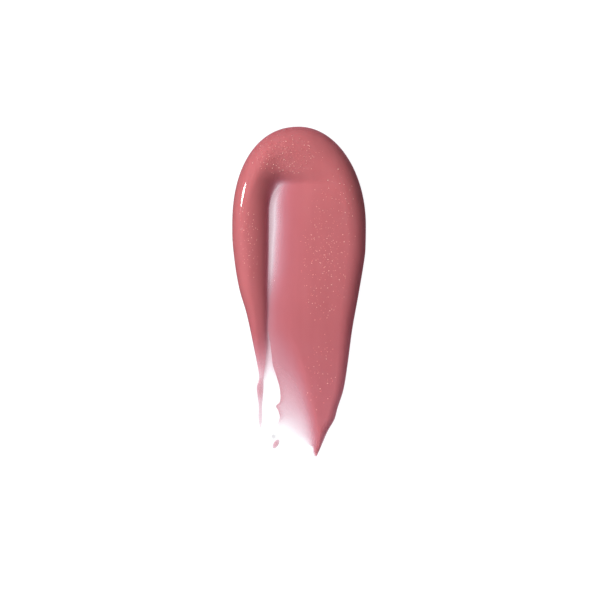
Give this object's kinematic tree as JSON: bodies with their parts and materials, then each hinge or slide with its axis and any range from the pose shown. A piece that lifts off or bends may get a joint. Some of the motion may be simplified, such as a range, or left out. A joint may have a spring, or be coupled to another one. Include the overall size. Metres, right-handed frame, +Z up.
{
  "type": "lip gloss smear",
  "caption": "Thick smear of pink shimmer lip gloss: rounded head, bead along the left of a wiped channel, broad face on the right, ragged thinning tail.",
  "frame": {"origin": "middle of the smear's overall length and width, on the surface that it lies on", "axes": "+Z up out of the surface it lies on, +Y along the smear from its tail to its round head, +X towards the broad face"},
  "size_m": [0.0142, 0.035, 0.0022],
  "materials": {
    "gloss": "wet, tinted, slightly see-through where thin",
    "thin_gloss": "wet see-through film of the same gloss",
    "trace": "faint dried residue",
    "shimmer": "pearl-coated mica flake, peach gold"
  },
  "bodies": {
    "root": {"gloss_body": "gloss", "wiped_film": "thin_gloss", "trailing_strand": "thin_gloss", "broken_drop": "thin_gloss", "dried_trace": "trace", "shimmer_crown": "shimmer", "shimmer_bead": "shimmer", "shimmer_face": "shimmer", "shimmer_tail": "shimmer"}
  },
  "joints": []
}
